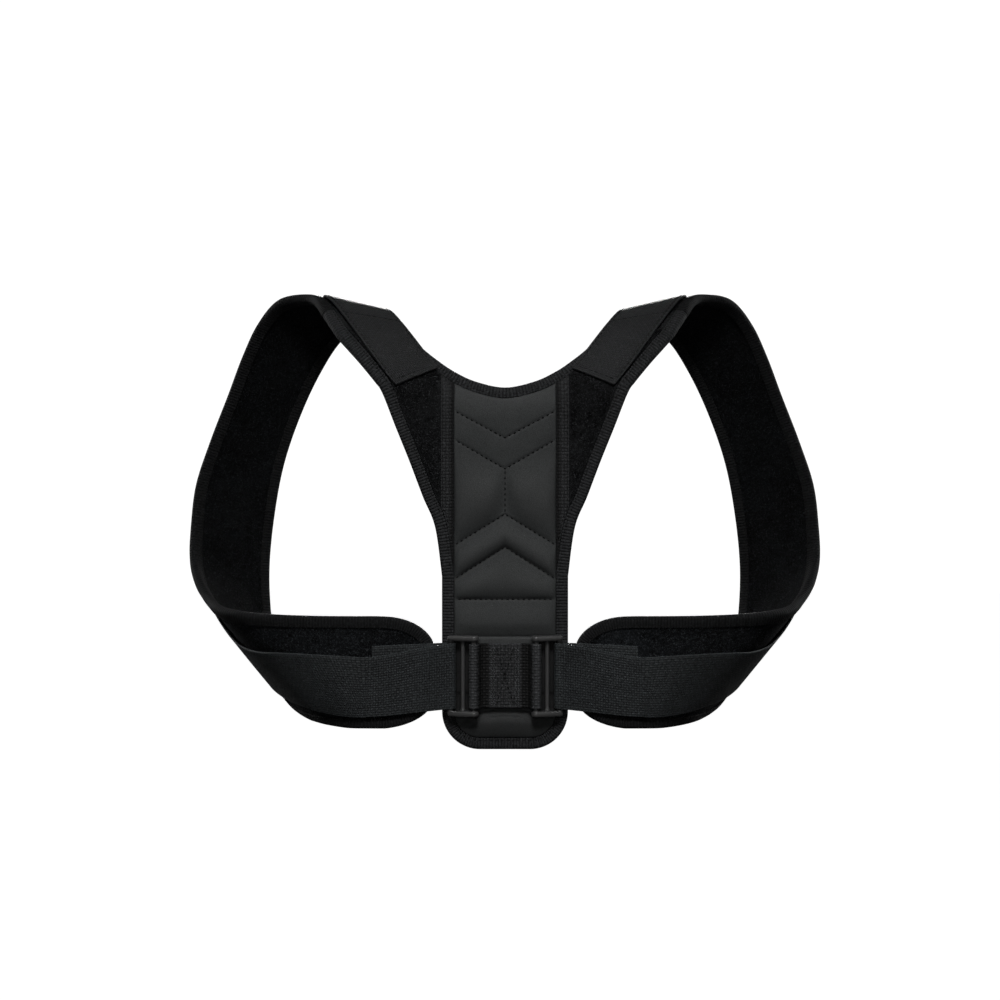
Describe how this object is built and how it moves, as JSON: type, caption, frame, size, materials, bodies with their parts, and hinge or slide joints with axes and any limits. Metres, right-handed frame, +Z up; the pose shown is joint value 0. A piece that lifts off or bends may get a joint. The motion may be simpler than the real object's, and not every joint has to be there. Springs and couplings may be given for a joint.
{
  "type": "clavicle brace",
  "caption": "Worn clavicle brace with a quilted back panel, padded arm loops, shoulder tabs, and waist webbing that runs through slide buckles at the back.",
  "frame": {"origin": "on the mid-plane, level with the top of the shoulders and midway through the shoulder roll, where the brace sits on its wearer", "axes": "+X to the right of someone looking at the back panel, +Y from the back panel towards the wearer's chest, +Z up"},
  "size_m": [0.3828, 0.1141, 0.2655],
  "materials": {
    "padding": "smooth knit over foam",
    "edge_tape": "ribbed binding tape",
    "leather": "quilted synthetic leather, soft sheen",
    "loop_fabric": "brushed loop fabric",
    "hook_tab": "fine ribbed hook tape",
    "webbing": "woven webbing",
    "buckle_plastic": "moulded, semi-gloss"
  },
  "bodies": {
    "root": {"back_panel": "padding", "neck_binding": "edge_tape", "edge_binding": "edge_tape", "leather_panel": "leather", "side_band_right": "edge_tape", "side_band_left": "edge_tape", "wing_patch_right": "loop_fabric", "wing_patch_left": "loop_fabric", "shoulder_strap_right": "padding", "shoulder_strap_left": "padding", "strap_binding_right": "edge_tape", "strap_binding_left": "edge_tape", "shoulder_tab_right": "hook_tab", "shoulder_tab_left": "hook_tab", "waist_webbing_right": "webbing", "waist_webbing_left": "webbing", "centre_webbing": "webbing", "buckle_right": "buckle_plastic", "buckle_left": "buckle_plastic"}
  },
  "joints": []
}
